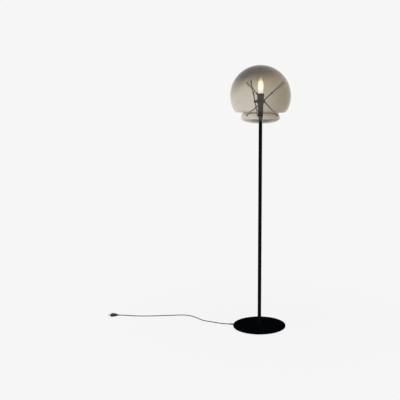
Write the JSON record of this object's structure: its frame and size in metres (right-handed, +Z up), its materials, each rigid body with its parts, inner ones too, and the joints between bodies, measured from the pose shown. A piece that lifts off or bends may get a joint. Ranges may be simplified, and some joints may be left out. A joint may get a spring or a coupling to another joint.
{
  "type": "floor lamp",
  "caption": "Slim floor lamp with a round foot, a straight pole and a smoked glass globe that hinged struts steady from inside.",
  "frame": {"origin": "centre of the underside, on the floor, on the pole's axis", "axes": "+Z up along the pole; +X to the right and +Y away from the viewer, with the mains lead leaving on the -X side"},
  "size_m": [1.108, 0.3656, 1.525],
  "materials": {
    "powder_coat": "fine matt powder coat",
    "base_steel": "satin powder coat",
    "foam_pad": "cut foam rubber",
    "zinc_steel": "zinc plated",
    "seat_metal": "satin powder coat",
    "seal_rubber": "moulded silicone",
    "stem_metal": "satin bronze-black paint",
    "strut_metal": "satin bronze-black paint",
    "foot_rubber": "moulded rubber",
    "comb_rubber": "moulded rubber",
    "pin_steel": "blackened steel",
    "nylon": "moulded nylon",
    "holder_metal": "satin bronze-black paint",
    "porcelain": "glazed porcelain",
    "brass_contact": "sprung brass",
    "bulb_cap_metal": "rolled shell",
    "bulb_skirt_plastic": "moulded plastic",
    "bulb_envelope": "clear glass",
    "filament": "phosphor coated",
    "smoked_glass": "blown smoked glass",
    "cord_sheath": "extruded PVC",
    "gland_rubber": "moulded rubber",
    "plug_plastic": "moulded PVC",
    "plug_pin_metal": "nickel plated"
  },
  "bodies": {
    "root": {"base_plate": "base_steel", "base_pad": "foam_pad", "pole_flange": "zinc_steel", "flange_screws": "zinc_steel", "lower_pole": "powder_coat", "upper_pole": "powder_coat", "pole_coupling": "zinc_steel", "pole_top_insert": "zinc_steel", "hollow_rod": "zinc_steel", "globe_seat": "seat_metal", "seat_ring": "seal_rubber", "stem_cone": "stem_metal", "stem_tube": "stem_metal", "arm_hub": "stem_metal", "holder_shell": "holder_metal", "holder_body": "porcelain", "holder_nut": "zinc_steel", "holder_contact": "brass_contact", "bulb_cap": "bulb_cap_metal", "bulb_skirt": "bulb_skirt_plastic", "bulb_glass": "bulb_envelope", "bulb_filaments": "filament", "globe_collar": "smoked_glass", "globe_belly": "smoked_glass", "globe_crown": "smoked_glass", "power_cord": "cord_sheath", "inner_lead": "cord_sheath", "cord_gland": "gland_rubber", "plug_body": "plug_plastic", "plug_pins": "plug_pin_metal", "pivot_pin_1": "pin_steel", "pivot_washer_1": "nylon", "pivot_pin_2": "pin_steel", "pivot_washer_2": "nylon", "pivot_pin_3": "pin_steel", "pivot_washer_3": "nylon"},
    "arm_1": {"arm_rod_1": "strut_metal", "arm_comb_1": "comb_rubber", "arm_foot_1": "foot_rubber"},
    "arm_2": {"arm_rod_2": "strut_metal", "arm_comb_2": "comb_rubber", "arm_foot_2": "foot_rubber"},
    "arm_3": {"arm_rod_3": "strut_metal", "arm_comb_3": "comb_rubber", "arm_foot_3": "foot_rubber"}
  },
  "joints": [
    {"name": "arm_fold_1", "type": "hinge", "parent": "root", "child": "arm_1", "pos_m": [0.02084, 0.02546, 1.317], "axis": [0.6335, 0.7737, 0], "range_deg": [0, 15]},
    {"name": "arm_fold_2", "type": "hinge", "parent": "root", "child": "arm_2", "pos_m": [-0.03247, 0.00532, 1.317], "axis": [-0.9868, 0.1617, 0], "range_deg": [0, 15]},
    {"name": "arm_fold_3", "type": "hinge", "parent": "root", "child": "arm_3", "pos_m": [0.01162, -0.03078, 1.317], "axis": [0.3533, -0.9355, 0], "range_deg": [0, 15]}
  ]
}
